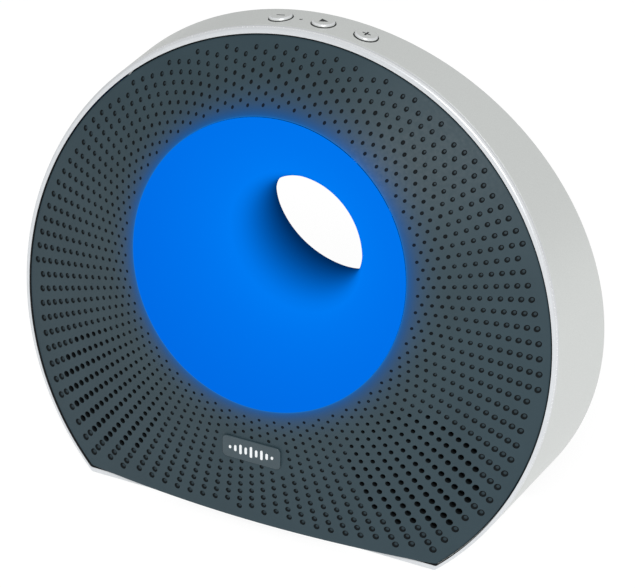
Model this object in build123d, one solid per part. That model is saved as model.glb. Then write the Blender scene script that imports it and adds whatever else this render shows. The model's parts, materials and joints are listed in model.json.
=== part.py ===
from build123d import *
import os
from math import cos, hypot, radians, sin, sqrt

# Ring-shaped wireless loudspeaker standing on a flat base. +Z is up, +X is to the right of a
# person facing it, and the grille faces -Y. The origin is on the table, under the middle.

# ---- driving dimensions, mm ----
mouth_r = 50.0            # radius at which the grille's cone starts
mouth_hole_r = 50.3       # hole in the grille for the light funnel
face_r = 98.3             # grille's outline
band_front_r = 99.9       # band, at the front rim
band_rear_r = 101.85      # band, at the rear rim
mouth_rise = 26.0         # mouth's centre above the band's centre
grille_drop = 71.7        # grille's straight bottom edge below the band's centre
base_drop = 73.7          # flat base below the band's centre
foot_h = 1.2              # how far a rubber foot stands out of the base
front_lean = 0.143        # the front rim leans back by this much per mm of height
rear_lean = 0.12          # the rear rim leans forward
face_depth = 16.4         # the mouth stands this far in front of the front rim
rear_depth = 16.7         # the rear mouth stands this far behind the rear rim
mouth_y = -32.9           # centre of the front mouth
funnel_length = 69.0      # from the front mouth's centre to the rear mouth's centre
rear_mouth_r = 31.8       # radius at which the rear cover's cone starts
bowl_depth = 14.0         # the funnel's rings lean like the front down to this depth, then turn
funnel_drop = 1.5         # how far the funnel's axis sinks below the mouth's centre
sink_depth = 20.0         # depth at which it is lowest
rear_drop = 0.5           # where the axis comes out, below the mouth's centre

plate_t = 2.4             # front grille and rear cover
band_t = 1.5              # band
funnel_t = 1.6            # light funnel
fit_gap = 0.3             # between the grille and the trim around it

hole_rows = 120           # radial rows of holes in the grille
hole_first_r = 54.0       # first hole of a row, from the mouth's centre
hole_pitch = 3.145        # from hole to hole along a row
lattice_drop = 0.58       # centre of the rows below the mouth's centre
lattice_turn = -0.14      # turn of all the rows, degrees
driver_x = 57.5           # loudspeaker driver, from the middle
driver_drop = 61.5        # driver below the mouth's centre
driver_open_r = 22.5      # area of open holes in front of a driver

button_r = 4.1
button_proud = 0.9        # how far a button stands out of the band
button_gap = 0.2          # between a button and its hole
button_step = 8.9         # degrees between buttons, around the band
button_turn = 0.27        # the middle button, degrees around the band from the top
button_y = mouth_y + 35.6
led_angle = -4.4          # status light

z_ring = foot_h + base_drop
z_mouth = z_ring + mouth_rise
rear_y = mouth_y + funnel_length
taper = (band_rear_r - band_front_r) / 42.7
nodes = {}


# ---- surfaces and outlines ----
def front_rim_y(z):
    return mouth_y + face_depth + front_lean * (z - z_mouth)


def rear_rim_y(z):
    return rear_y - rear_depth - rear_lean * (z - z_mouth)


def band_radius(y):
    return band_front_r + taper * (y - front_rim_y(z_ring))


def facing_front(x, y, z, lean=0.0):
    """Plane whose own Z points at the viewer, and leans back by lean."""
    return Plane(origin=(x, y, z), x_dir=(1, 0, 0), z_dir=(0, -1, lean))


def facing_rear(x, y, z, lean=0.0):
    return Plane(origin=(x, y, z), x_dir=(-1, 0, 0), z_dir=(0, 1, lean))


def upright_ring(r, y, z, lean):
    """Ring that looks round along Y, in a plane that leans back by lean."""
    return facing_front(0, y, z, lean) * Ellipse(r, r * sqrt(1 + lean * lean))


def face_cone(r_small, r_large, depth, y_small, lean, towards, shift):
    """Oblique cone from the mouth out to the rim, moved along Y by shift."""
    rings = []
    for s in (-0.05, 1.1):
        z = z_mouth - s * mouth_rise
        y = y_small + towards * s * depth + lean * (z - z_mouth) + shift
        rings.append(upright_ring(r_small + s * (r_large - r_small), y, z, lean))
    return loft(rings, ruled=True)


def front_cone(shift):
    return face_cone(mouth_r, face_r, face_depth, mouth_y, front_lean, 1, shift)


def rear_cone(shift):
    return face_cone(rear_mouth_r, band_rear_r, rear_depth, rear_y, -rear_lean, -1, shift)


def outline(r, drop, corner=1.5):
    """Circle about the band's centre with a straight bottom, in X and Z."""
    shape = Circle(r) & Pos(0, (r - drop) / 2) * Rectangle(2 * r + 2, r + drop)
    shape = fillet(shape.vertices(), corner)
    return facing_front(0, 0, z_ring) * shape


def along_y(sketch):
    return extrude(sketch, amount=120, both=True)


def wedge(front_offset, rear_offset):
    """Everything between the front rim's plane and the rear rim's plane, each moved along Y."""
    low, high = -20.0, 190.0
    side = Polyline(
        (front_rim_y(low) + front_offset, low), (rear_rim_y(low) + rear_offset, low),
        (rear_rim_y(high) + rear_offset, high), (front_rim_y(high) + front_offset, high),
        close=True)
    return extrude(Plane.YZ * make_face(side), amount=130, both=True)


def drum(inset):
    """Tapered round body with a flat base, inset all round."""
    reach = 75.0
    cone = Cone(band_radius(-reach) - inset, band_radius(reach) - inset, 2 * reach,
                align=standing)
    cone = Plane(origin=(0, -reach, z_ring), x_dir=(1, 0, 0), z_dir=(0, 1, 0)) * cone
    return cone & block(240, 200, foot_h + inset, 200)


def radial_plane(angle, y, r):
    """Plane at radius r around the band, whose own Z points outwards; angle from the top."""
    a = radians(angle)
    return Plane(origin=(r * sin(a), y, z_ring + r * cos(a)), x_dir=(cos(a), 0, -sin(a)),
                 z_dir=(sin(a), 0, cos(a)))


standing = (Align.CENTER, Align.CENTER, Align.MIN)


def rod(r, z_low, z_high):
    return Pos(0, 0, z_low) * Cylinder(r, z_high - z_low, align=standing)


def tube(r_out, r_in, z_low, z_high):
    return rod(r_out, z_low, z_high) - rod(r_in, z_low, z_high)


def block(width, height, z_low, z_high, x=0.0, y=0.0):
    return Pos(x, y, z_low) * Box(width, height, z_high - z_low, align=standing)


def spun(*points):
    """Solid of revolution about the local Z axis from points given as (radius, z)."""
    return revolve(Plane.XZ * make_face(Polyline(*points, close=True)), Axis.Z)


def keep(name, shape):
    nodes[name] = shape


def group(name, shapes):
    nodes[name] = Compound(label=name, children=[solid for shape in shapes for solid in shape.solids()])


# ---- front: grille, badge, trim ----
def hole_radius(r):
    return (0.9 + 0.025 * (r - hole_first_r)) / 2


def driver_holes():
    """Places and sizes of the holes that go right through, in front of the drivers."""
    found = []
    for row in range(hole_rows):
        angle = radians(360.0 / hole_rows * row + lattice_turn)
        for step in range(24):
            r = hole_first_r + hole_pitch * (step + 0.5 * ((row + 1) % 2))
            x, z = r * cos(angle), r * sin(angle) - lattice_drop
            near = hypot(abs(x) - driver_x, z + driver_drop)
            if near < driver_open_r:
                found.append((x, z_mouth + z, hole_radius(r)))
    return found


def front_grille():
    edge = outline(face_r - fit_gap, grille_drop - fit_gap).face().outer_wire()
    mouth = (facing_front(0, 0, z_mouth) * Circle(mouth_hole_r)).face().outer_wire()
    holes = [(facing_front(x, 0, z) * Circle(r)).face().outer_wire() for x, z, r in driver_holes()]
    pierced = along_y(Face(edge, [mouth] + holes))
    plate = pierced & (front_cone(0) - front_cone(plate_t))
    skirt = along_y(outline(face_r - 2.2, grille_drop - 2.2))
    skirt -= along_y(outline(face_r - 3.7, grille_drop - 3.7))
    skirt = skirt & front_cone(plate_t - 0.6) & wedge(-40, 0) - wedge(5.6, 20)
    recess = badge_plane() * block(badge_w + 0.3, badge_h + 0.3, -0.8, 3.0)
    keep("front_grille", plate + skirt - recess)


badge_w = 22.0
badge_h = 8.6
badge_drop = 68.0         # badge below the mouth's centre


def badge_plane():
    """Plane on the grille's surface under the mouth, facing out of it."""
    s = (badge_drop - mouth_r) / (face_r - mouth_r + mouth_rise)
    slope = face_depth / (face_r - mouth_r + mouth_rise)
    y = mouth_y + s * face_depth - front_lean * badge_drop
    return facing_front(0, y, z_mouth - badge_drop, front_lean - slope)


def badge():
    plate = extrude(RectangleRounded(badge_w, badge_h, 1.8), amount=1.3)
    plate = chamfer(plate.edges().group_by(Axis.Z)[-1], 0.25)
    keep("badge_plate", badge_plane() * Pos(0, 0, -0.7) * plate)
    bars = []
    heights = (1.2, 2.4, 3.8, 2.8, 4.4, 2.8, 3.8, 2.4, 1.2)
    for number, height in enumerate(heights):
        bar = Pos(2.0 * (number - 4), 0) * SlotOverall(height, 0.9, rotation=90)
        bars.append(badge_plane() * Pos(0, 0, 0.6) * extrude(bar, amount=0.2))
    group("badge_mark", bars)


def bezel_ring():
    ring = (drum(0) & wedge(-0.1, 0)) - wedge(1.1, 20)
    lip = (drum(0.4) & wedge(-0.5, 0)) - wedge(-0.1, 20)
    keep("bezel_ring", ring + lip - along_y(outline(face_r, grille_drop)))


# ---- band with its button holes ----
key_angles = (("minus", button_turn - button_step), ("play", button_turn), ("plus", button_turn + button_step))
keeper_top = 94.0         # radius of the top of the button keeper
board_top = 87.4          # radius of the top of the key board
boss_angle = 14.5


def band_shell():
    shell = (drum(0) & wedge(1.3, 0)) - drum(band_t)
    top_r = band_radius(button_y)
    for _, angle in key_angles:
        shell -= radial_plane(angle, button_y, top_r) * rod(button_r + button_gap, -6, 3)
    shell -= radial_plane(led_angle, button_y, top_r) * rod(0.7, -6, 3)
    for side in (-1, 1):
        centre = radial_plane(side * boss_angle, button_y, 0)
        shell += centre * (rod(2.4, keeper_top, top_r - 0.8) - rod(1.0, keeper_top - 1, keeper_top + 4))
    for x, y in foot_places():
        shell -= Pos(x, y, foot_h - 1) * rod(2.2, 0, 4)
    keep("band_shell", shell)


def foot_places():
    return [(x, y) for x in (-52.0, 52.0) for y in (-21.0, 22.0)]


def rubber_feet():
    foot = chamfer(rod(6.0, 0, foot_h).edges().group_by(Axis.Z)[0], 0.3)
    foot += rod(2.1, foot_h, foot_h + 3.0) + rod(2.9, foot_h + 1.6, foot_h + 2.4)
    group("rubber_feet", [Pos(x, y, 0) * foot for x, y in foot_places()])


# ---- buttons on top ----
def icon(name):
    if name == "plus":
        return Rectangle(2.9, 0.5) + Rectangle(0.5, 2.9)
    if name == "minus":
        return Rectangle(2.9, 0.5)
    return make_face(Polyline((-1.1, -1.4), (1.7, 0), (-1.1, 1.4), close=True))


def buttons():
    top_r = band_radius(button_y)
    switches = []
    for name, angle in key_angles:
        place = radial_plane(angle, button_y, top_r)
        cap = rod(button_r, -2.5, button_proud)
        cap = chamfer(cap.edges().group_by(Axis.Z)[-1], 0.6)
        body = cap + rod(5.0, -2.8, -2.0) + rod(1.4, board_top + 3.8 - top_r, -2.5)
        keep(f"button_{name}", place * (body - Pos(0, 0, button_proud - 0.3) * extrude(icon(name), amount=1)))
        centre = radial_plane(angle, button_y, 0)
        keep(f"plunger_{name}", centre * rod(1.6, board_top + 2.5, board_top + 3.8))
        case = block(6, 6, board_top, board_top + 3) - rod(1.7, board_top + 1.6, board_top + 4)
        switches.append(centre * case)
    group("key_switches", switches)


def arc_plate(r_low, r_high, half_angle, half_width):
    """Curved plate around the band's axis, centred under the buttons."""
    ring = Plane(origin=(0, button_y, z_ring), x_dir=(1, 0, 0), z_dir=(0, 1, 0)) * tube(
        r_high, r_low, -half_width, half_width)
    reach = r_high * sin(radians(half_angle))
    return ring & Pos(0, button_y, z_ring) * block(2 * reach, 20, 0, 2 * r_high)


def key_group():
    keeper = arc_plate(keeper_top - 1.5, keeper_top, 17.5, 4.4)
    for _, angle in key_angles:
        keeper -= radial_plane(angle, button_y, 0) * rod(1.7, keeper_top - 5, keeper_top + 5)
    keeper -= radial_plane(led_angle, button_y, 0) * rod(0.8, keeper_top - 5, keeper_top + 5)
    board = arc_plate(board_top - 1.0, board_top, 17.5, 4.4)
    screws = []
    for side in (-1, 1):
        centre = radial_plane(side * boss_angle, button_y, 0)
        keeper += centre * rod(2.2, board_top, keeper_top - 0.8)
        keeper -= centre * rod(1.1, board_top - 5, keeper_top + 5)
        board -= centre * rod(1.1, board_top - 5, board_top + 5)
        screw = rod(0.95, board_top - 1.5, keeper_top + 3.5) + rod(1.9, board_top - 2.2, board_top - 1.15)
        screws.append(centre * screw)
    keep("button_keeper", keeper)
    keep("key_board", board)
    group("key_screws", screws)
    place = radial_plane(led_angle, button_y, 0)
    keep("status_lens", place * rod(0.6, board_top + 1.2, band_radius(button_y) - 0.1))
    keep("status_led", place * block(1.6, 1.0, board_top, board_top + 0.8))


# ---- light funnel and its lamps ----
def funnel_profile():
    """(depth behind the front mouth, inside radius) of the hourglass funnel from front to back."""
    return ((0.0, 48.7), (4.0, 42.2), (8.0, 36.5), (11.5, 32.1), (14.0, 29.5), (18.0, 26.8), (21.0, 25.4),
            (28.0, 22.6), (36.0, 21.1), (40.0, 20.85), (46.0, 21.2), (52.0, 22.4), (60.0, 25.6),
            (66.0, 28.9), (funnel_length, 31.0))


def funnel_sink(depth):
    """How far the funnel's axis lies below the mouth's centre at a depth."""
    if depth < sink_depth:
        return funnel_drop * depth / sink_depth
    return funnel_drop + (rear_drop - funnel_drop) * (depth - sink_depth) / (funnel_length - sink_depth)


def funnel_skin(extra, reach):
    """Solid filling the funnel, fatter by extra and longer by reach at both ends."""
    rings = []
    profile = funnel_profile()
    for number, (depth, r) in enumerate(profile):
        share = max(0.0, (depth - bowl_depth) / (funnel_length - bowl_depth))
        lean = front_lean + (-rear_lean - front_lean) * share
        shift = -reach if number == 0 else reach if number == len(profile) - 1 else 0.0
        rings.append(upright_ring(r + extra, mouth_y + depth + shift, z_mouth - funnel_sink(depth), lean))
    return loft(rings, ruled=True)


def light_funnel():
    keep("light_funnel", funnel_skin(funnel_t - 0.1, 0.0) - funnel_skin(0.0, 0.4))


led_count = 12
baffle_gap = 3.2          # from the front rim's plane back to the baffle
baffle_t = 2.5


def baffle_plane(x, z, offset=0.0):
    """Plane on the baffle's front, facing out of it."""
    return facing_front(x, front_rim_y(z) + baffle_gap, z, front_lean).offset(offset)


def lamp_ring():
    place = baffle_plane(0, z_mouth)
    keep("led_board", place * tube(46.5, 33.5, 0.0, 1.2))
    chip = block(3.5, 2.8, 1.2, 2.2)
    group("led_chips", [place * spot * chip for spot in PolarLocations(40.0, led_count).locations])
    shroud = spun((48.3, 0.0), (49.7, 0.0), (49.7, 15.0), (48.3, 15.0))
    keep("light_shroud", place * shroud)


# ---- baffle that carries the drivers and the boards ----
board_z = 27.0            # height of the main board's middle
board_places = [(x, y) for x in (-24.0, 24.0) for y in (-14.0, 14.0)]
driver_screw_r = 24.6


def front_baffle():
    slab = along_y(outline(94.0, grille_drop - 6)) & wedge(baffle_gap, 0)
    slab = slab - wedge(baffle_gap + baffle_t, 20)
    slab -= baffle_plane(0, z_mouth) * rod(31.0, -20, 20)
    slab -= block(70, 200, z_ring + 80, z_ring + 140)
    for side in (-1, 1):
        place = baffle_plane(side * driver_x, z_mouth - driver_drop)
        slab -= place * rod(22.0, -20, 20)
        for k in range(4):
            slab -= place * Rot(0, 0, 45 + 90 * k) * Pos(driver_screw_r, 0, 0) * rod(0.9, -20, 20)
    place = baffle_plane(0, board_z)
    for x, y in board_places:
        slab += place * Pos(x, y) * rod(3.0, -8.5, -baffle_t + 0.5)
        slab -= place * Pos(x, y) * rod(1.0, -20, -3.0)
    keep("front_baffle", slab)


# ---- loudspeaker drivers ----
def driver(side):
    place = baffle_plane((-1 if side == "left" else 1) * driver_x, z_mouth - driver_drop, -baffle_t)
    windows = [Rot(0, 0, 45 + 90 * k) * block(14, 11, -12.2, -4.6, x=19.5) for k in range(4)]
    flange = spun((26.4, -0.6), (26.4, -2.1), (22.8, -2.1), (16.4, -12.8), (16.4, -15.5), (7.0, -15.5),
                  (7.0, -14.3), (14.6, -14.3), (14.6, -11.8), (13.0, -11.8), (13.0, -10.8), (15.2, -10.8),
                  (21.4, -0.6))
    for window in windows:
        flange -= window
    for k in range(4):
        flange -= Rot(0, 0, 45 + 90 * k) * Pos(driver_screw_r, 0, 0) * rod(1.0, -10, 5)
    keep(f"{side}_driver_frame", place * flange)
    seal = tube(26.2, 22.4, -0.6, 0.0)
    for k in range(4):
        seal -= Rot(0, 0, 45 + 90 * k) * Pos(driver_screw_r, 0, 0) * rod(1.0, -10, 5)
    keep(f"{side}_driver_gasket", place * seal)
    keep(f"{side}_magnet", place * tube(15.0, 8.0, -23.5, -17.5))
    group(f"{side}_yoke", [place * tube(14.0, 7.0, -17.5, -15.5),
                           place * (rod(13.6, -25.5, -23.5) + rod(6.0, -25.0, -15.0))])
    keep(f"{side}_voice_coil", place * tube(6.7, 6.35, -20.5, -8.0))
    cone = spun((6.75, -8.6), (6.75, -9.4), (7.3, -9.4), (18.2, -2.6), (18.2, -2.0), (17.8, -2.0))
    keep(f"{side}_cone", place * cone)
    dome = spun((0, -5.6), (3.6, -6.1), (6.4, -7.3), (6.6, -7.9), (6.1, -7.9), (3.5, -6.6), (0, -6.1))
    keep(f"{side}_dust_cap", place * dome)
    roll = spun((17.4, -1.9), (18.2, -1.9), (18.6, -0.9), (19.9, 0.2), (21.0, -0.3), (22.2, -0.3), (22.2, 0.0),
                (21.0, 0.1), (19.9, 0.6), (18.2, -0.6), (17.9, -1.6), (17.4, -1.6))
    keep(f"{side}_surround", place * roll)
    wave = [(6.75, -10.8), (8.2, -10.4), (9.6, -10.8), (11.0, -10.4), (12.4, -10.8), (13.9, -10.8)]
    back = [(r, z + 0.3) for r, z in reversed(wave)]
    keep(f"{side}_spider", place * spun(*wave, *back))
    screw = rod(0.85, -2.1, 1.8) + rod(1.5, -3.1, -2.1)
    return [place * Rot(0, 0, 45 + 90 * k) * Pos(driver_screw_r, 0, 0) * screw for k in range(4)]


# ---- electronics ----
def electronics():
    place = baffle_plane(0, board_z, -8.5)
    board = block(58, 38, -1.6, 0.0)
    screws = []
    for x, y in board_places:
        board -= Pos(x, y) * rod(1.1, -5, 5)
        screws.append(place * Pos(x, y) * (rod(0.95, -1.6, 4.0) + rod(2.0, -2.8, -1.6)))
    keep("main_board", place * board)
    group("board_screws", screws)
    keep("bluetooth_module", place * block(15, 12, -3.8, -1.6, x=-12, y=9))
    keep("amplifier_chip", place * block(8, 8, -2.8, -1.6, x=6, y=2))
    group("capacitors", [place * Pos(x, y) * rod(3.15, -9.0, -1.6) for x, y in ((16, 10), (16, 2), (8, 12))])
    group("board_connectors", [place * block(7, 4.5, -6.0, -1.6, x=x, y=-13) for x in (-12, 0, 12)])


battery_z = foot_h + band_t + 13.0
battery_y = mouth_y + 47.0


def battery():
    axis = Plane(origin=(-32.5, battery_y, battery_z), x_dir=(0, 1, 0), z_dir=(1, 0, 0))
    cell = fillet(rod(9.2, 0, 65).edges(), 0.8)
    keep("battery_cell", axis * cell)
    tray = Pos(0, battery_y, foot_h + band_t) * block(73, 22, 0, 13)
    tray -= axis * rod(9.35, -0.3, 65.3)
    tray -= Pos(0, battery_y, battery_z) * block(65.6, 18.7, 0, 10)
    keep("battery_tray", tray)


# ---- rear cover and what is in it ----
port_z = 33.0
panel_w = 46.0
panel_h = 13.0
panel_t = 2.0
cover_screw_places = [(60.0, 62.0), (-60.0, 62.0), (88.0, 2.0), (-88.0, 2.0), (72.0, -56.0), (-72.0, -56.0)]


def rear_surface_y(x, z):
    """Y of the rear cover's outside at (x, z), by halving the share of the way out."""
    low, high = 0.0, 1.0
    for _ in range(30):
        s = (low + high) / 2
        reach = hypot(x, z - z_mouth + s * mouth_rise)
        if reach > rear_mouth_r + s * (band_rear_r - rear_mouth_r):
            low = s
        else:
            high = s
    return rear_y - low * rear_depth - rear_lean * (z - z_mouth)


panel_y = rear_surface_y(0, port_z) - 3.5


def rear_cover():
    funnel_end_r = funnel_profile()[-1][1] + funnel_t
    hole = along_y(facing_front(0, 0, z_mouth - rear_drop) * Circle(funnel_end_r + 0.2))
    plate = (drum(band_t + 0.25) - hole) & (rear_cone(0) - rear_cone(-plate_t))
    well = Pos(0, panel_y, port_z) * Box(panel_w + 6, 2 * 4.5, panel_h + 6)
    plate += well & rear_cone(0)
    plate -= Pos(0, panel_y + 5, port_z) * Box(panel_w, 20, panel_h)
    plate -= Pos(0, panel_y - 5, port_z) * Box(panel_w - 4, 20, panel_h - 4)
    screws = []
    for x, dz in cover_screw_places:
        z = z_ring + dz
        y = rear_surface_y(x, z)
        place = facing_rear(x, y, z)
        plate += (place * rod(4.2, -12.0, -0.5)) & rear_cone(0)
        plate -= place * rod(3.1, -2.6, 8)
        plate -= place * rod(1.7, -30, 8)
        head = rod(2.8, -2.6, -0.9) - block(3.2, 0.7, -1.5, 0) - block(0.7, 3.2, -1.5, 0)
        screws.append(place * (rod(1.5, -14.5, -2.6) + head))
    keep("rear_cover", plate)
    group("cover_screws", screws)


def ports():
    face = facing_rear(0, panel_y, port_z)
    panel = face * block(panel_w - 0.4, panel_h - 0.4, -panel_t, 0.0)
    usb = RectangleRounded(9.2, 3.6, 1.2)
    panel -= face * Pos(14, 0, -5) * extrude(usb, amount=10)
    panel -= face * Pos(0, 0) * rod(3.2, -5, 5)
    panel -= face * block(9.2, 3.4, -5, 5, x=-14)
    keep("port_panel", panel)
    shell = extrude(RectangleRounded(9.0, 3.3, 1.1), amount=9.5)
    shell -= Pos(0, 0, 1.2) * extrude(RectangleRounded(8.2, 2.6, 0.9), amount=10)
    group("usb_socket", [face * Pos(14, 0, -9.0) * shell, face * block(6.0, 0.7, -7.8, -1.5, x=14)])
    jack = rod(3.1, -2.0, 0.4) + block(7.5, 8.0, -13.0, -2.0)
    keep("aux_jack", face * (jack - rod(1.8, -12.0, 2)))
    switch = block(10.5, 5.0, -6.5, -2.0) - block(5.8, 2.2, -5.5, 0)
    keep("power_switch", face * Pos(-14, 0) * switch)
    knob = block(3.4, 1.9, -5.3, -2.0) + block(3.4, 2.4, -2.0, 1.0)
    keep("power_knob", face * Pos(-15.1, 0) * knob)
    keep("port_board", face * block(44, 10.5, -14.6, -13.0))


for make in (front_grille, badge, bezel_ring, band_shell, rubber_feet, buttons, key_group, light_funnel,
             lamp_ring, front_baffle, electronics, battery, rear_cover, ports):
    make()
group("driver_screws", driver("left") + driver("right"))

os.makedirs("parts", exist_ok=True)
for name, shape in nodes.items():
    export_step(shape, f"parts/{name}.step")
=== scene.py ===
import json
from math import cos, exp, hypot, radians, sin

import bpy
import numpy as np
from mathutils import Matrix, Vector
from mathutils.geometry import delaunay_2d_cdt


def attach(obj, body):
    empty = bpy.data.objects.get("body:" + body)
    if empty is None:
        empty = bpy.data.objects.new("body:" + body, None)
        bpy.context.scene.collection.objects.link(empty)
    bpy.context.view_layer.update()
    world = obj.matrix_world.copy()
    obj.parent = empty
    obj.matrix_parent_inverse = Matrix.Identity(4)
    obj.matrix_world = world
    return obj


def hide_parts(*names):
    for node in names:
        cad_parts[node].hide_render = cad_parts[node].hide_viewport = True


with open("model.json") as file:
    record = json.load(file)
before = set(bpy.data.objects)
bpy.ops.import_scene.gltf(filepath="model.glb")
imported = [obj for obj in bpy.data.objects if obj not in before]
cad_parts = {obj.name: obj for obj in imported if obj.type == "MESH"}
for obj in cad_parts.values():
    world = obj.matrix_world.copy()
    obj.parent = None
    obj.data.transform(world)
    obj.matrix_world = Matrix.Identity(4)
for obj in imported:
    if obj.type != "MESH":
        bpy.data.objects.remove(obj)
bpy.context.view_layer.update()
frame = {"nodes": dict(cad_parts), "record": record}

# Ring-shaped wireless loudspeaker. The meshes are built in millimetres in the CAD's frame: the grille
# faces -Y, +Z is up, and the origin is on the table under the middle.
scene = bpy.context.scene
MM = 0.001

# ---- dimensions shared with the CAD, mm ----
mouth_r = 50.0
mouth_hole_r = 50.3
face_r = 98.3
band_front_r = 99.9
band_rear_r = 101.85
band_length = 42.7
mouth_rise = 26.0
grille_drop = 71.7
base_drop = 73.7
foot_h = 1.2
front_lean = 0.143
rear_lean = 0.12
face_depth = 16.4
rear_depth = 16.7
mouth_y = -32.9
funnel_length = 69.0
bowl_depth = 14.0
funnel_drop = 1.5
sink_depth = 20.0
rear_drop = 0.5
plate_t = 2.4
band_t = 1.5
fit_gap = 0.3
hole_rows = 120
hole_first_r = 54.0
hole_pitch = 3.145
lattice_drop = 0.58
lattice_turn = -0.14
driver_x = 57.5
driver_drop = 61.5
driver_open_r = 22.5
button_r = 4.1
button_setback = 35.6
button_proud = 0.9
button_gap = 0.2
button_step = 8.9
button_turn = 0.27
led_angle = -4.4
badge_w = 22.0
badge_h = 8.6
badge_drop = 68.0

z_ring = foot_h + base_drop
z_mouth = z_ring + mouth_rise
rear_y = mouth_y + funnel_length
button_y = mouth_y + button_setback
taper = (band_rear_r - band_front_r) / band_length


def front_rim_y(z):
    return mouth_y + face_depth + front_lean * (z - z_mouth)


def rear_rim_y(z):
    return rear_y - rear_depth - rear_lean * (z - z_mouth)


def band_radius(y):
    return band_front_r + taper * (y - front_rim_y(z_ring))


def face_y(x, z):
    """The grille's face: an oblique cone from the mouth out to the rim."""
    dz = z - z_mouth
    spread = face_r - mouth_r
    a = mouth_rise ** 2 - spread ** 2
    b = 2 * (mouth_rise * dz - mouth_r * spread)
    c = x * x + dz * dz - mouth_r ** 2
    share = (-b - np.sqrt(b * b - 4 * a * c)) / (2 * a)
    return mouth_y + share * face_depth + front_lean * dz


# ---- where a surface lies: (u, v, depth below the surface) to a point ----
def on_face(u, v, depth):
    return np.stack([u, face_y(u, v) + depth, v], 1)


base_corner = 1.2         # radius where the band turns into the flat base
face_corner = 1.5         # the same for the grille
corner_q = 1.2            # where the rounded corner ends, on perimeter's own measure


def perimeter(q, r, drop, corner):
    """Points of a circle with a straight bottom and rounded corners. q is 0 at the top and runs
    clockwise: 1 where the arc ends, corner_q where the corner ends, 2 in the middle of the bottom."""
    side = np.where(q < 0, -1.0, 1.0)
    t = np.abs(q)
    cx = np.sqrt((r - corner) ** 2 - (drop - corner) ** 2)
    cz = corner - drop
    end = np.arctan2(cx, cz)
    arc = end * np.minimum(t, 1)
    x, z = r * np.sin(arc), r * np.cos(arc)
    turn = end + (np.pi - end) * np.clip((t - 1) / (corner_q - 1), 0, 1)
    x = np.where(t > 1, cx + corner * np.sin(turn), x)
    z = np.where(t > 1, cz + corner * np.cos(turn), z)
    x = np.where(t > corner_q, cx * (2 - t) / (2 - corner_q), x)
    z = np.where(t > corner_q, -drop, z)
    return side * x, z


# ---- meshes ----
def facing_out(place, u, v):
    """Unit normals of a surface at depth 0."""
    h = 1e-3
    du = place(u + h, v, 0 * u) - place(u - h, v, 0 * u)
    dv = place(u, v + h, 0 * u) - place(u, v - h, 0 * u)
    n = np.cross(du, dv)
    return n / np.linalg.norm(n, axis=1, keepdims=True)


def encloses(loop, point):
    """Whether a closed loop of flat points goes round a point."""
    inside = False
    for a, b in zip(loop, loop[1:] + loop[:1]):
        if (a.y > point.y) != (b.y > point.y):
            inside ^= point.x < a.x + (b.x - a.x) * (point.y - a.y) / (b.y - a.y)
    return inside


class Skin:
    """A mesh under construction over a surface: rings of points, walls between them, and fills."""

    def __init__(self, place, spread=(1.0, 1.0)):
        self.place = place
        self.spread = spread
        self.uv, self.points, self.normals, self.faces, self.finish = [], [], [], [], []

    def ring(self, uv, depth=0.0, flush=False):
        uv = np.asarray(uv, float)
        at = len(self.points)
        found = self.place(uv[:, 0], uv[:, 1], depth + 0 * uv[:, 0])
        normals = facing_out(self.place, uv[:, 0], uv[:, 1]) if flush else 0 * found
        self.uv.extend(uv.tolist())
        self.points.extend(found.tolist())
        self.normals.extend(normals.tolist())
        return list(range(at, at + len(uv)))

    def add(self, face, finish):
        self.faces.append(face)
        self.finish.append(finish)

    def wall(self, a, b, finish=0):
        """Faces from ring a down to ring b, seen from inside a hole whose rings run anticlockwise."""
        for k in range(len(a)):
            n = (k + 1) % len(a)
            self.add((a[k], a[n], b[n], b[k]), finish)

    def floor(self, ring, finish=0):
        """A floor that closes a hole."""
        middle = np.mean([self.uv[k] for k in ring], 0)
        centre = len(self.points)
        self.uv.append(middle.tolist())
        self.points.append(np.mean([self.points[k] for k in ring], 0).tolist())
        self.normals.append([0, 0, 0])
        for k in range(len(ring)):
            self.add((ring[k], ring[(k + 1) % len(ring)], centre), finish)

    def flat(self, k):
        """A point's place on the surface, unrolled to about true size."""
        return Vector((self.uv[k][0] * self.spread[0], self.uv[k][1] * self.spread[1]))

    def fill(self, outer, holes, inner=(), finish=0, flip=False):
        """Triangles over the surface between the outer ring and the holes' rings."""
        loops = [outer] + list(holes)
        owner, index, flat, edges = [], [], [], []
        for number, loop in enumerate(loops):
            at = len(flat)
            flat += [self.flat(k) for k in loop]
            owner += [number] * len(loop)
            index += list(loop)
            edges += [(at + k, at + (k + 1) % len(loop)) for k in range(len(loop))]
        for k in inner:
            flat.append(self.flat(k))
            owner.append(-1)
            index.append(k)
        _, _, faces, origin, _, _ = delaunay_2d_cdt(flat, edges, [], 1, 1e-7)
        for face in faces:
            known = [origin[k][0] for k in face]
            owners = {owner[k] for k in known}
            if len(owners) == 1 and min(owners) > 0:
                loop = [flat[k] for k, number in enumerate(owner) if number == min(owners)]
                if encloses(loop, sum((flat[k] for k in known), Vector((0, 0))) / len(known)):
                    continue
            corners = [index[k] for k in known]
            (a, b, c) = [self.uv[k] for k in corners[:3]]
            turn = (b[0] - a[0]) * (c[1] - a[1]) - (b[1] - a[1]) * (c[0] - a[0])
            if (turn < 0) != flip:
                corners.reverse()
            self.add(tuple(corners), finish)


def circle(x, y, r, count):
    t = np.arange(count) * 2 * np.pi / count
    return np.stack([x + r * np.cos(t), y + r * np.sin(t)], 1)


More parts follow.
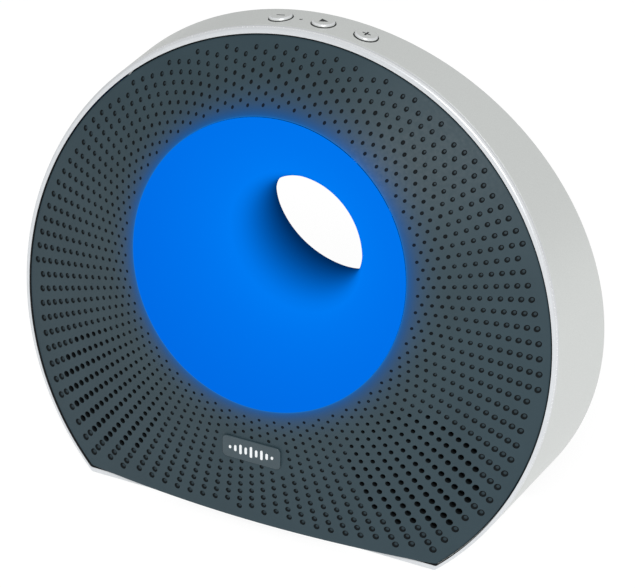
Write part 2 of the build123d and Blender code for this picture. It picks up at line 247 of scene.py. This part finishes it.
def make_piece(name, skin, body, materials, replaced, crease, matrix=Matrix.Identity(4)):
    """An object from a skin, its points given in millimetres."""
    turn = np.array(matrix.to_3x3()).T
    points = np.array(skin.points, float) @ turn + np.array(matrix.translation)
    normals = np.array(skin.normals, float) @ turn
    mesh = bpy.data.meshes.new(name)
    mesh.from_pydata((points * MM).tolist(), [], skin.faces)
    mesh.validate()
    for material in materials:
        mesh.materials.append(material)
    mesh.polygons.foreach_set("material_index", skin.finish)
    mesh.polygons.foreach_set("use_smooth", [True] * len(mesh.polygons))
    mesh.set_sharp_from_angle(angle=radians(crease))
    if np.abs(normals).sum() > 0:
        mesh.normals_split_custom_set_from_vertices(normals.tolist())
    obj = bpy.data.objects.new(name, mesh)
    scene.collection.objects.link(obj)
    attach(obj, body)
    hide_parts(replaced)


# ---- finishes ----
def linear(r, g, b):
    """Linear colour from 8-bit sRGB."""
    parts = [c / 255 for c in (r, g, b)]
    return tuple(c / 12.92 if c <= 0.04045 else ((c + 0.055) / 1.055) ** 2.4 for c in parts) + (1.0,)


def scaled(colour, k):
    return tuple(min(1.0, c * k) for c in colour[:3]) + (1.0,)


class Finish:
    """A procedural material: a Principled shader whose colour, roughness and bump vary in object space."""

    def __init__(self, name, colour, roughness=0.5, metallic=0.0):
        self.material = bpy.data.materials.new(name)
        self.material.use_nodes = True
        self.tree = self.material.node_tree
        self.shader = self.tree.nodes["Principled BSDF"]
        self.colour = colour
        self.put("Base Color", colour)
        self.put("Roughness", roughness)
        self.put("Metallic", metallic)
        self.space = self.tree.nodes.new("ShaderNodeTexCoord").outputs["Object"]

    def put(self, socket, value):
        self.shader.inputs[socket].default_value = value

    def link(self, a, b):
        self.tree.links.new(a, b)

    def node(self, kind, **settings):
        made = self.tree.nodes.new(kind)
        for key, value in settings.items():
            if hasattr(made, key):
                setattr(made, key, value)
            else:
                made.inputs[key].default_value = value
        return made

    def noise(self, scale, detail):
        """Noise in object space; scale is features per metre."""
        noise = self.node("ShaderNodeTexNoise", Scale=scale, Detail=detail, Roughness=0.5)
        self.link(self.space, noise.inputs["Vector"])
        return noise.outputs["Fac"]

    def ramp(self, value, stops):
        node = self.node("ShaderNodeValToRGB")
        ramp = node.color_ramp
        while len(ramp.elements) > 1:
            ramp.elements.remove(ramp.elements[0])
        ramp.elements[0].position, ramp.elements[0].color = stops[0]
        for position, colour in stops[1:]:
            ramp.elements.new(position).color = colour
        self.link(value, node.inputs["Fac"])
        return node.outputs["Color"]

    def math(self, operation, a, b=0.0):
        node = self.node("ShaderNodeMath", operation=operation)
        for socket, value in zip(node.inputs, (a, b)):
            if isinstance(value, (int, float)):
                socket.default_value = value
            else:
                self.link(value, socket)
        return node.outputs["Value"]

    def mottle(self, scale, low, high):
        """Colour that drifts between two shades of the finish's own colour."""
        fac = self.noise(scale, 3.0)
        stops = [(0.3, scaled(self.colour, low)), (0.7, scaled(self.colour, high))]
        self.link(self.ramp(fac, stops), self.shader.inputs["Base Color"])
        return self

    def worn(self, scale, low, high):
        """Roughness that varies over the surface."""
        fac = self.noise(scale, 3.0)
        spread = self.node("ShaderNodeMapRange")
        for socket, value in zip(("From Min", "From Max", "To Min", "To Max"), (0.3, 0.7, low, high)):
            spread.inputs[socket].default_value = value
        self.link(fac, spread.inputs["Value"])
        self.link(spread.outputs["Result"], self.shader.inputs["Roughness"])
        return self

    def grain(self, scale, height):
        """Bump; height in millimetres."""
        bump = self.node("ShaderNodeBump", Strength=1.0, Distance=height * MM)
        self.link(self.noise(scale, 2.0), bump.inputs["Height"])
        self.link(bump.outputs["Normal"], self.shader.inputs["Normal"])
        return self

    def axis(self, name):
        split = self.node("ShaderNodeSeparateXYZ")
        self.link(self.space, split.inputs["Vector"])
        return split.outputs[name]


def mouth_distance(finish):
    """Distance from the mouth's axis in X and Z, metres."""
    dz = finish.math("SUBTRACT", finish.axis("Z"), z_mouth * MM)
    square = finish.math("ADD", finish.math("POWER", finish.axis("X"), 2.0), finish.math("POWER", dz, 2.0))
    return finish.math("SQRT", square)


def grille_finish(name, colour, roughness, strength=1.0):
    """Matt slate plastic with a painted blue glow round the mouth, given as emission, and painted shade that
    darkens its own colour close to the mouth.
    """
    f = Finish(name, colour)
    f.worn(900, roughness - 0.05, roughness + 0.05).grain(3500, 0.012)
    f.put("Specular IOR Level", 0.2)
    away = f.math("SUBTRACT", mouth_distance(f), mouth_hole_r * MM)
    reach = f.math("MULTIPLY", away, 1 / (painted_glow_reach * MM))
    stops = [(k / painted_glow_stops) ** 2 for k in range(painted_glow_stops + 1)]
    # painted glow: blue emission round the mouth
    glow = [(t, (0, 0.28 * painted_glow_level(t * painted_glow_reach), painted_glow_level(t * painted_glow_reach), 1)) for t in stops]
    f.link(f.ramp(reach, glow), f.shader.inputs["Emission Color"])
    f.put("Emission Strength", strength)
    drift = f.ramp(f.noise(60, 4.0), [(0.3, scaled(colour, 0.95)), (0.7, scaled(colour, 1.05))])
    # painted shade: the plastic's colour darkened close to the mouth
    shade = f.ramp(reach, [(t, (painted_shade_factor(t * painted_glow_reach),) * 3 + (1,)) for t in stops])
    mix = f.node("ShaderNodeMix", data_type="RGBA", blend_type="MULTIPLY")
    mix.inputs[0].default_value = 1.0
    f.link(drift, mix.inputs[6])
    f.link(shade, mix.inputs[7])
    f.link(mix.outputs[2], f.shader.inputs["Base Color"])
    return f.material


painted_glow_reach = 14.0         # reach of the painted glow and painted shade, mm from the mouth's edge
painted_glow_stops = 16


def painted_glow_level(r):
    """Painted blue glow at a distance from the mouth: a bright edge on a wide halo, down to none."""
    return (0.36 * exp(-r / 3.6) + 0.34 * exp(-r / 0.15)) * (1 - r / painted_glow_reach)


def painted_shade_factor(r):
    """How much of the plastic's own colour is left by the painted shade at a distance from the mouth."""
    return 1 - exp(-(r / 3) ** 1.5)


funnel_middle_drop = 1.0  # mean drop of the funnel's axis below the mouth's centre


def funnel_depth(f):
    """Depth behind the front mouth along the funnel, in metres. Its rings lean, less and less."""
    dz = f.math("SUBTRACT", f.axis("Z"), (z_mouth - funnel_middle_drop) * MM)
    y = f.math("SUBTRACT", f.axis("Y"), mouth_y * MM)
    bowl = f.math("SUBTRACT", y, f.math("MULTIPLY", dz, front_lean))
    turn = (front_lean + rear_lean) / (funnel_length - bowl_depth)
    over = f.math("SUBTRACT", y, f.math("MULTIPLY", dz, front_lean + turn * bowl_depth))
    under = f.math("SUBTRACT", 1.0, f.math("MULTIPLY", dz, turn / MM))
    return f.math("MAXIMUM", f.math("MINIMUM", bowl, bowl_depth * MM), f.math("DIVIDE", over, under)), dz


def lit_finish():
    """Translucent plastic lit from behind by the lamps around the bowl, fading towards the rear."""
    f = Finish("lit_diffuser", (0.0, 0.0, 0.0, 1))
    f.put("Specular IOR Level", 0.0)
    depth, dz = funnel_depth(f)
    slant = f.math("ADD", f.math("MULTIPLY", f.axis("X"), 0.09), f.math("MULTIPLY", dz, 0.177))
    along = f.math("ADD", f.math("ADD", depth, slant), lit_start * MM)
    share = f.math("MULTIPLY", along, 1 / (lit_span * MM))
    steps = [k / lit_stops for k in range(lit_stops + 1)]
    ramp = f.ramp(share, [(t, lit_colour(t * lit_span - lit_start)) for t in steps])
    f.link(ramp, f.shader.inputs["Emission Color"])
    f.put("Emission Strength", 1.0)
    f.worn(300, 0.85, 1.0)
    return f.material


lit_start = 12.0          # the light is worked out from this far before the mouth, mm
lit_span = 84.0
lit_stops = 21
bright_depth = 20.0       # the lamps sit round the bowl, about this deep


def lit_colour(depth):
    """The light through the plastic: nearly even over the bowl, then fading towards the rear."""
    ahead, past = max(0.0, bright_depth - depth), max(0.0, depth - bright_depth)
    blue = 0.06 + 0.84 * exp(-(past / 19.7) ** 1.55) - 0.004 * ahead
    return (0.0, (0.217 - 0.001 * ahead) * blue, blue, 1.0)


slate = linear(46, 62, 69)
grille_plastic = grille_finish("grille_plastic", slate, 0.5)
# The holes' walls and the small dimples' floors are the slate darkened to 0.12, the wider dimples' floors to
# 0.7: painted shade in the holes, each with a weak painted glow.
hole_painted_shade = grille_finish("hole_painted_shade", scaled(slate, 0.12), 0.8, 0.12)
dimple_floor_painted_shade = grille_finish("dimple_floor_painted_shade", scaled(slate, 0.7), 0.6, 0.12)
cover_plastic = Finish("cover_plastic", slate).mottle(60, 0.92, 1.08).worn(700, 0.5, 0.6)
cover_plastic = cover_plastic.grain(2500, 0.02).material
trim_metal = Finish("trim_metal", linear(203, 206, 209), metallic=0.3).mottle(300, 0.98, 1.02)
trim_metal = trim_metal.worn(1500, 0.28, 0.36).material
# Chamfers and button bevels: polished, and lighter than the trim, which is partly a painted highlight.
edge_metal_painted_highlight = Finish("edge_metal_painted_highlight", linear(218, 220, 222), metallic=0.3).mottle(600, 0.98, 1.0)
edge_metal_painted_highlight = edge_metal_painted_highlight.worn(1500, 0.2, 0.3).material
band_metal = Finish("band_metal", linear(207, 210, 208), metallic=0.3).mottle(2600, 0.96, 1.04)
band_metal = band_metal.worn(2000, 0.4, 0.5).grain(5000, 0.005).material
button_metal = Finish("button_metal", linear(207, 210, 208), metallic=0.3).mottle(2600, 0.96, 1.04)
button_metal = button_metal.worn(2000, 0.32, 0.44).grain(5000, 0.005).material
# Dark paint: printed icons, and also the buttons' sides down in the band's holes, where it is painted shade.
icon_print_and_painted_shade = Finish("icon_print_and_painted_shade", linear(44, 46, 48), 0.5).mottle(2000, 0.85, 1.15).material
# Near-black for the walls of the band's holes and the bezel's wall at the gap to the grille: painted shade.
gap_painted_shade = Finish("gap_painted_shade", linear(24, 26, 28)).mottle(900, 0.8, 1.2).worn(900, 0.7, 0.9).material
badge_plastic = Finish("badge_plastic", scaled(slate, 1.1)).mottle(200, 0.95, 1.05)
badge_plastic = badge_plastic.worn(900, 0.35, 0.45).material
badge_paint = Finish("badge_paint", linear(222, 226, 228)).mottle(900, 0.97, 1.03)
badge_paint = badge_paint.worn(900, 0.4, 0.5).material
lit_plastic = lit_finish()

plain = {  # slot: colour, roughness, metallic, noise scale, grain in mm
    "rubber": ((34, 34, 35), 0.8, 0.0, 900, 0.03),
    "inner_plastic": ((40, 42, 44), 0.6, 0.0, 500, 0.02),
    "circuit_board": ((18, 74, 42), 0.45, 0.0, 800, 0.01),
    "lamp": ((206, 214, 226), 0.3, 0.0, 900, 0.005),
    "clear_plastic": ((40, 44, 48), 0.2, 0.0, 900, 0.003),
    "chip": ((26, 27, 29), 0.45, 0.0, 900, 0.01),
    "shield": ((188, 190, 192), 0.3, 1.0, 700, 0.01),
    "capacitor": ((60, 66, 96), 0.35, 0.2, 700, 0.01),
    "connector": ((28, 29, 31), 0.45, 0.0, 800, 0.01),
    "cell": ((38, 92, 150), 0.4, 0.0, 400, 0.02),
    "screw": ((150, 152, 156), 0.3, 1.0, 1500, 0.01),
    "basket": ((46, 48, 50), 0.45, 0.7, 600, 0.02),
    "seal": ((30, 30, 31), 0.9, 0.0, 1200, 0.05),
    "magnet": ((58, 58, 60), 0.55, 0.5, 600, 0.02),
    "yoke": ((150, 150, 152), 0.35, 1.0, 800, 0.01),
    "coil": ((176, 98, 52), 0.35, 0.9, 3000, 0.02),
    "cone": ((38, 38, 40), 0.75, 0.0, 1500, 0.04),
    "spider": ((196, 158, 92), 0.85, 0.0, 2500, 0.05),
}
slots = {}
for slot_name, (colour, rough, metal, size, height) in plain.items():
    f = Finish("cad_" + slot_name, linear(*colour), metallic=metal)
    f.mottle(size, 0.9, 1.1).worn(size, rough - 0.07, min(0.98, rough + 0.07)).grain(size * 2, height)
    slots[slot_name] = f.material
slots.update(grille=grille_plastic, badge=badge_plastic, badge_mark=badge_paint, trim=trim_metal,
             band=band_metal, cover=cover_plastic, button=button_metal, diffuser=lit_plastic)

for row in frame["record"]["subparts"]:
    node = frame["nodes"][row["node"]]
    node.data.materials.clear()
    node.data.materials.append(slots[row["material_slot"]])


# ---- outlines round the body, running anticlockwise as seen from the front ----
def around(arc_steps, corner_steps, flat_steps):
    """Values of q round the whole perimeter, from the middle of the bottom up the right side."""
    flat = np.linspace(2.0, corner_q, flat_steps + 1)[:-1]
    corner = np.linspace(corner_q, 1.0, corner_steps + 1)[:-1]
    arc = np.linspace(1.0, -1.0, arc_steps + 1)
    return np.concatenate([flat, corner, arc, -corner[::-1], -flat[:0:-1]])


def outline_uv(q, r, drop):
    """The grille's outline, whose corners are a little rounder than the band's."""
    x, z = perimeter(q, r, drop, face_corner)
    return np.stack([x, z + z_ring], 1)


def reversed_walls(skin, rings, finish=0):
    """Walls that face away from the middle, down a list of rings."""
    for a, b in zip(rings, rings[1:]):
        skin.wall(a[::-1], b[::-1], finish)


def walls(skin, rings, finish=0):
    for a, b in zip(rings, rings[1:]):
        skin.wall(a, b, finish)


# ---- grille with its lattice of holes ----
field_r = 94.8            # the holes keep inside this circle
field_rise = 0.9          # its centre above the ring's centre
chord_margin = 5.2        # clear of the straight bottom
dimple_depth = 0.7
row_steps = 40            # enough to run past the outline in every row
badge_margin = 0.3
less_shaded_floor_r = 0.66     # wider dimples get a less darkened floor: painted shade
grille_edge_gap = fit_gap + 0.1


def hole_places():
    """(x, z, radius, goes through) of every hole in the grille."""
    for row in range(hole_rows):
        angle = radians(360.0 / hole_rows * row + lattice_turn)
        for step in range(row_steps):
            r = hole_first_r + hole_pitch * (step + 0.5 * ((row + 1) % 2))
            x, dz = r * cos(angle), r * sin(angle) - lattice_drop
            size = (0.9 + 0.025 * (r - hole_first_r)) / 2
            if hypot(x, dz + mouth_rise - field_rise) > field_r:
                continue
            if dz + mouth_rise < chord_margin - grille_drop:
                continue
            beside = abs(x) - badge_w / 2, abs(dz + badge_drop) - badge_h / 2
            if max(beside) < size + badge_margin:
                continue
            through = hypot(abs(x) - driver_x, dz + driver_drop) < driver_open_r
            yield x, z_mouth + dz, 1.06 * size + 0.05, through


def grille():
    skin = Skin(on_face)
    q = around(216, 6, 36)
    edge_r, edge_drop = face_r - grille_edge_gap, grille_drop - grille_edge_gap
    steps = ((0.5, 0.0), (0.2, 0.06), (0.05, 0.2), (0.0, 0.45), (0.0, plate_t))
    rim = [skin.ring(outline_uv(q, edge_r - i, edge_drop - i), d, flush=d == 0) for i, d in steps]
    mouth = [skin.ring(circle(0, z_mouth, mouth_hole_r + i, 144), d, flush=d == 0)
             for i, d in ((0.25, 0.0), (0.08, 0.05), (0.0, 0.2), (0.0, plate_t))]
    reversed_walls(skin, rim[:3])
    reversed_walls(skin, rim[2:], 1)
    walls(skin, mouth)
    tops, bottoms = [], []
    for x, z, size, through in hole_places():
        count = 12 if size < 0.8 else 16
        depth = plate_t if through else dimple_depth
        rings = [skin.ring(circle(x, z, size + 0.1, count), 0.0, flush=True),
                 skin.ring(circle(x, z, size + 0.02, count), 0.05),
                 skin.ring(circle(x, z, size, count), depth)]
        walls(skin, rings[:2])
        walls(skin, rings[1:], 1)
        tops.append(rings[0])
        if through:
            bottoms.append(rings[-1])
        else:
            boss = skin.ring(circle(x, z, 0.5 * size, count), depth - 0.12)
            skin.wall(rings[-1], boss, 1)
            skin.floor(boss, 2 if size > less_shaded_floor_r else 1)
    skin.fill(rim[0], [mouth[0]] + tops)
    skin.fill(rim[-1], [mouth[-1]] + bottoms, flip=True)
    # Slate with painted glow, then the two finishes darkened as painted shade: for the holes' walls, the
    # outline's deeper wall and the small dimples' floors, and for the wider dimples' floors.
    finishes = [grille_plastic, hole_painted_shade, dimple_floor_painted_shade]
    make_piece("grille_face", skin, "housing", finishes, "front_grille", crease=40)


# ---- bezel between grille and band ----
def swept_section(q, outer, inner, section):
    """Rings of points for a section of (share from the outer to the inner outline, offset along Y).
    The outer outline widens along Y and Y follows the height, so each place is found by repetition."""
    rings = []
    for share, offset in section:
        z = z_ring + 0.0 * q
        for _ in range(4):
            y = front_rim_y(z) + offset
            x_out, z_out = perimeter(q, band_radius(y), *outer)
            x_in, z_in = perimeter(q, *inner)
            x = x_out + share * (x_in - x_out)
            z = z_ring + z_out + share * (z_in - z_out)
        rings.append(np.stack([x, y, z], 1))
    return rings


def lathe_faces(skin, rings, finish=0):
    """Adds rings of ready points and joins each to the next, the last to the first. The finish may be
    given for each join."""
    made = []
    for ring in rings:
        at = len(skin.points)
        skin.points += ring.tolist()
        skin.normals += (0 * ring).tolist()
        skin.uv += ring[:, [0, 2]].tolist()
        made.append(list(range(at, at + len(ring))))
    for number, (a, b) in enumerate(zip(made, made[1:] + made[:1])):
        skin.wall(a, b, finish if isinstance(finish, int) else finish[number])


def bezel():
    q = around(288, 6, 40)
    section = ((0.0, 1.1), (0.0, 0.35), (0.03, 0.18), (0.14, -0.15), (0.22, -0.34), (0.34, -0.46),
               (0.45, -0.5), (0.82, -0.5), (0.96, -0.5), (1.0, -0.4), (1.0, 1.1))
    skin = Skin(None)
    rings = swept_section(q, (base_drop, base_corner), (face_r, grille_drop, face_corner), section)
    # The polished chamfers are lighter, partly a painted highlight.
    plain_side, polished_painted_highlight, dark = 0, 1, 2
    # The bezel's wall facing the grille gap takes the near-black painted shade.
    joins = [dark, polished_painted_highlight] + [plain_side] * 5 + [polished_painted_highlight] * 2 + [plain_side] * 2
    lathe_faces(skin, rings[::-1], joins)
    finishes = [trim_metal, edge_metal_painted_highlight, gap_painted_shade]
    make_piece("bezel", skin, "housing", finishes, "bezel_ring", crease=50)


# ---- band ----
band_front = 1.3          # the band starts this far behind the rim's plane, past the seam
round_front = 0.3
round_rear = 0.3
key_angles = [(name, button_turn + button_step * side)
              for name, side in (("minus", -1), ("play", 0), ("plus", 1))]
pin_r = 0.62              # pinhole of the status light
window_q = 0.17           # the band is filled round its holes up to this far from the top
band_spread = (236.0, 40.0)  # mm along the band for one q, and across it


def on_shell(u, v, depth):
    """u is the perimeter's q. v runs 0 to 1 across the band, then on in millimetres at both edges."""
    z = z_ring + 0.0 * u
    for _ in range(5):
        front = front_rim_y(z) + band_front + round_front
        rear = rear_rim_y(z) - round_rear
        y = front + np.clip(v, 0, 1) * (rear - front) + np.minimum(v, 0) + np.maximum(v - 1, 0)
        x, dz = perimeter(u, band_radius(y) - depth, base_drop - depth, base_corner - 0.5 * depth)
        z = z_ring + dz
    return np.stack([x, y, z], 1)


def shell_uv(angle, y):
    """Where a point at that angle from the top (radians) lies on the band."""
    r = band_radius(y)
    drop = base_drop - base_corner
    end = np.arctan2(np.sqrt((r - base_corner) ** 2 - drop ** 2), -drop)
    z = z_ring + r * np.cos(angle)
    front = front_rim_y(z) + band_front + round_front
    rear = rear_rim_y(z) - round_rear
    return np.stack([angle / end, (y - front) / (rear - front)], 1)


def band_circle(angle, r, count):
    t = np.arange(count) * 2 * np.pi / count
    turn = radians(angle) + np.arcsin(r * np.cos(t) / band_radius(button_y))
    return shell_uv(turn, button_y + r * np.sin(t))


def band():
    skin = Skin(on_shell, spread=band_spread)
    q = around(180, 6, 24)[::-1]
    across = np.linspace(0, 1, 9)
    outside = [skin.ring(np.stack([q, 0 * q + v], 1), 0.0, flush=True) for v in across]
    front = [skin.ring(np.stack([q, 0 * q - v], 1), d)
             for v, d in ((0.15, 0.03), (0.27, 0.12), (round_front, 0.28), (round_front, band_t))]
    rear = [skin.ring(np.stack([q, 0 * q + 1 + v], 1), d)
            for v, d in ((0.15, 0.03), (0.26, 0.12), (round_rear, 0.28), (round_rear, band_t))]
    inside = [skin.ring(np.stack([q, 0 * q + v], 1), band_t) for v in across]
    holes = [(angle, button_r + button_gap, 0.12, 48) for _, angle in key_angles]
    loops = []
    for angle, r, widening, count in holes + [(led_angle, pin_r, 0.08, 20)]:
        top = skin.ring(band_circle(angle, r + widening, count), 0.0, flush=True)
        lip = skin.ring(band_circle(angle, r, count), 0.14)
        foot = skin.ring(band_circle(angle, r, count), band_t)
        walls(skin, [top, lip])
        # The holes' walls below the lip are near-black: painted shade.
        walls(skin, [lip, foot], 1)
        loops.append((top, foot))
    first, last = sorted(int(np.argmin(abs(q - side * window_q))) for side in (-1, 1))
    window = range(first, last)

    clear = [(angle, button_r + 0.9) for _, angle in key_angles] + [(led_angle, 1.0)]

    def beside_holes(k):
        x, y, _ = skin.points[k]
        return all(hypot(band_front_r * sin(radians(angle)) - x, button_y - y) > r for angle, r in clear)

    def strips(rows, flip=False, skipped=()):
        for above, below in zip(rows, rows[1:]):
            for k in range(len(q)):
                if k not in skipped:
                    n = (k + 1) % len(q)
                    face = (above[k], above[n], below[n], below[k])
                    skin.add(face[::-1] if flip else face, 0)

    for rows, flip in ((outside, False), (inside, True)):
        strips(rows, flip, window)
        border = [rows[0][k] for k in range(first, last + 1)]
        border += [row[last] for row in rows[1:]]
        border += [rows[-1][k] for k in range(last - 1, first - 1, -1)]
        border += [row[first] for row in rows[-2:0:-1]]
        inner = [row[k] for row in rows[1:-1] for k in range(first + 1, last)]
        skin.fill(border, [pair[1 if flip else 0] for pair in loops],
                  [k for k in inner if beside_holes(k)], flip=flip)
    strips([outside[0]] + front + [inside[0]], flip=True)
    strips([outside[-1]] + rear + [inside[-1]])
    make_piece("band", skin, "housing", [band_metal, gap_painted_shade], "band_shell", crease=40)


# ---- light funnel ----
funnel_skin = 1.45        # wall thickness
funnel_count = 160        # points round each ring


def funnel_sink(depth):
    """How far the funnel's axis lies below the mouth's centre at a depth."""
    return np.interp(depth, (0.0, sink_depth, funnel_length), (0.0, funnel_drop, rear_drop))


def funnel():
    """Smooth hourglass skin through the CAD's rings, with a rounded lip in front and behind."""
    profile = np.array([(0.0, 48.7), (4.0, 42.2), (8.0, 36.5), (11.5, 32.1), (14.0, 29.5), (18.0, 26.8),
                        (21.0, 25.4), (28.0, 22.6), (36.0, 21.1), (40.0, 20.85), (46.0, 21.2), (52.0, 22.4),
                        (60.0, 25.6), (66.0, 28.9), (funnel_length, 31.0)])
    knots, radii = profile[:, 0], profile[:, 1]
    slope = np.gradient(radii, knots)
    depths = np.concatenate([np.linspace(0.9, 26, 60), np.linspace(26, 68.6, 50)[1:]])
    k = np.clip(np.searchsorted(knots, depths) - 1, 0, len(knots) - 2)
    h = knots[k + 1] - knots[k]
    t = (depths - knots[k]) / h
    r = ((2 * t**3 - 3 * t**2 + 1) * radii[k] + (t**3 - 2 * t**2 + t) * h * slope[k]
         + (3 * t**2 - 2 * t**3) * radii[k + 1] + (t**3 - t**2) * h * slope[k + 1])
    lip = [(0.06, 50.29), (0.0, 50.2), (0.0, 49.6), (0.1, 49.25), (0.35, 48.7)]
    end = radii[-1]
    tail = [(funnel_length - back_off, end + out)
            for back_off, out in ((0.1, 0.15), (0.0, 0.5), (0.0, 1.3), (0.2, funnel_skin))]
    outer_depths = [d for d in knots[::-1] if 0 < d < funnel_length] + [1.0]
    back = [(d, np.interp(d, knots, radii) + funnel_skin) for d in outer_depths]
    t = np.arange(funnel_count) * 2 * np.pi / funnel_count
    rings = []
    for depth, radius in lip + list(zip(depths, r)) + tail + back:
        share = max(0.0, (depth - bowl_depth) / (funnel_length - bowl_depth))
        lean = front_lean - (front_lean + rear_lean) * share
        z = radius * np.sin(t)
        y = mouth_y + depth + lean * z
        rings.append(np.stack([radius * np.cos(t), y, z_mouth - funnel_sink(depth) + z], 1))
    skin = Skin(None)
    lathe_faces(skin, rings)
    make_piece("light_funnel_skin", skin, "housing", [lit_plastic], "light_funnel",
               crease=60)


# ---- buttons ----
cap_top_r = 3.3           # edge of the dished top
flange_r = 5.0            # flange that stops the button at the band
flange_t = 0.8
stem_r = 1.4
stem_end_r = 91.2         # where the stem ends, from the ring's axis
icon_long = 1.45          # half length and half width of the strokes
icon_wide = 0.25


def radial_matrix(angle, y, r):
    """Turns a button's own X, Y, Z (across, rearwards, outwards) to its place on the band."""
    a = radians(angle)
    turn = Matrix(((cos(a), 0, sin(a)), (0, 1, 0), (-sin(a), 0, cos(a))))
    return Matrix.Translation((r * sin(a), y, z_ring + r * cos(a))) @ turn.to_4x4()


def icon_loop(name, grow):
    long, wide = icon_long + grow, icon_wide + grow
    if name == "minus":
        return [(-long, -wide), (long, -wide), (long, wide), (-long, wide)]
    if name == "plus":
        return [(-long, -wide), (-wide, -wide), (-wide, -long), (wide, -long), (wide, -wide), (long, -wide),
                (long, wide), (wide, wide), (wide, long), (-wide, long), (-wide, wide), (-long, wide)]
    return [(-1.1 - grow, -1.4 - 1.6 * grow), (1.7 + 2 * grow, 0.0), (-1.1 - grow, 1.4 + 1.6 * grow)]


def buttons():
    top_r = band_radius(button_y)
    stem_end = stem_end_r - top_r
    flange_depth = 2.9
    for name, angle in key_angles:
        def on_cap(u, v, depth):
            dish = 0.1 * np.clip(1 - (u * u + v * v) / 3.4 ** 2, 0, 1)  # mm deep, out to 3.4 mm
            return np.stack([u, v, button_proud - dish - depth], 1)
        skin = Skin(on_cap)
        profile = ((cap_top_r, 0.0), (3.48, 0.04), (3.66, 0.14), (3.82, 0.32), (3.92, 0.55), (3.95, 0.85),
                   (button_r, 1.3), (button_r, flange_depth), (flange_r, flange_depth),
                   (flange_r, flange_depth + flange_t), (stem_r, flange_depth + flange_t),
                   (stem_r, button_proud - stem_end))
        rings = [skin.ring(circle(0, 0, r, 64), d, flush=d == 0) for r, d in profile]
        reversed_walls(skin, rings[:2])
        # The bevel takes the lighter edge metal, partly a painted highlight.
        reversed_walls(skin, rings[1:5], 2)
        reversed_walls(skin, rings[4:6])
        # The side below the bevel takes the dark icon paint: painted shade in the gap.
        reversed_walls(skin, rings[5:], 1)
        middle = [skin.ring(circle(0, 0, r, 32), 0.0, flush=True) for r in (2.9, 2.3)]
        icon = [skin.ring(icon_loop(name, grow), d, flush=d == 0)
                for grow, d in ((0.06, 0.0), (0.0, 0.08), (0.0, 0.3))]
        walls(skin, icon, 1)
        skin.fill(rings[0], [icon[0]], middle[0] + middle[1])
        skin.fill(icon[-1], [], finish=1)
        skin.fill(rings[-1], [], flip=True)
        finishes = [button_metal, icon_print_and_painted_shade, edge_metal_painted_highlight]
        make_piece("cap_" + name, skin, name + "_key", finishes, "button_" + name,
                   crease=50, matrix=radial_matrix(angle, button_y, top_r))


# ---- badge ----
badge_proud = 0.6
badge_corner = 1.8


def rounded_rectangle(w, h, r, steps=6):
    points = []
    for cx, cy, start in ((1, -1, -90), (1, 1, 0), (-1, 1, 90), (-1, -1, 180)):
        for k in range(steps + 1):
            a = radians(start + 90 * k / steps)
            points.append((cx * (w / 2 - r) + r * cos(a), cy * (h / 2 - r) + r * sin(a)))
    return points


def badge_matrix():
    share = (badge_drop - mouth_r) / (face_r - mouth_r + mouth_rise)
    slope = face_depth / (face_r - mouth_r + mouth_rise)
    out = Vector((0, -1, front_lean - slope)).normalized()
    right = Vector((1, 0, 0))
    turn = Matrix((right, out.cross(right), out)).transposed()
    y = mouth_y + share * face_depth - front_lean * badge_drop
    return Matrix.Translation((0, y, z_mouth - badge_drop)) @ turn.to_4x4()


def badge():
    def flat(u, v, depth):
        return np.stack([u, v, badge_proud - depth], 1)
    skin = Skin(flat)
    steps = ((0.3, 0.0), (0.12, 0.04), (0.02, 0.14), (0.0, 0.28), (0.0, 1.3))
    rings = [skin.ring(rounded_rectangle(badge_w - 2 * i, badge_h - 2 * i, badge_corner - i), d, flush=d == 0)
             for i, d in steps]
    reversed_walls(skin, rings)
    skin.fill(rings[0], [])
    skin.fill(rings[-1], [], flip=True)
    make_piece("badge_face", skin, "housing", [badge_plastic], "badge_plate",
               crease=40, matrix=badge_matrix())


grille()
bezel()
band()
funnel()
buttons()
badge()


# ---- camera, floor and light ----
def lamp(name, place, target, size, energy):
    """A round soft light, in metres and watts."""
    light = bpy.data.lights.new(name, "AREA")
    light.shape, light.size, light.energy = "DISK", size, energy
    obj = bpy.data.objects.new(name, light)
    obj.location = Vector(place)
    obj.rotation_euler = (Vector(target) - Vector(place)).to_track_quat("-Z", "Y").to_euler()
    scene.collection.objects.link(obj)


camera_data = bpy.data.cameras.new("camera")
camera_data.lens = 152.74
camera_data.sensor_width = 36.0
camera_data.clip_start = 0.01
camera_data.clip_end = 20.0
camera = bpy.data.objects.new("camera", camera_data)
view_azimuth, view_height, view_roll = radians(24.035), radians(26.785), radians(2.842)
back = Vector((sin(view_azimuth) * cos(view_height), -cos(view_azimuth) * cos(view_height), sin(view_height)))
level = Vector((cos(view_azimuth), sin(view_azimuth), 0.0))
right = cos(view_roll) * level + sin(view_roll) * back.cross(level)
turn = Matrix((right, back.cross(right), back)).transposed().to_4x4()
camera.matrix_world = Matrix.Translation((0.34321, -0.75977, 0.49744)) @ turn
scene.collection.objects.link(camera)
scene.camera = camera

floor_mesh = bpy.data.meshes.new("floor")
floor_mesh.from_pydata([(-4, -4, 0), (4, -4, 0), (4, 4, 0), (-4, 4, 0)], [], [(0, 1, 2, 3)])
floor = bpy.data.objects.new("floor", floor_mesh)
scene.collection.objects.link(floor)
paper = Finish("paper", (0.2, 0.2, 0.2, 1), 0.8)
paper.put("Emission Color", (1, 1, 1, 1))
paper.put("Emission Strength", 0.86)
paper.put("Specular IOR Level", 0.1)
floor_mesh.materials.append(paper.material)

world = bpy.data.worlds.new("studio")
scene.world = world
world.use_nodes = True
world.node_tree.nodes["Background"].inputs["Color"].default_value = (1, 1, 1, 1)
world.node_tree.nodes["Background"].inputs["Strength"].default_value = 0.55
lamp("key", (0.57, -1.4, 1.19), (0, 0, 0.1), 1.0, 23)
scene.view_settings.view_transform = "Standard"
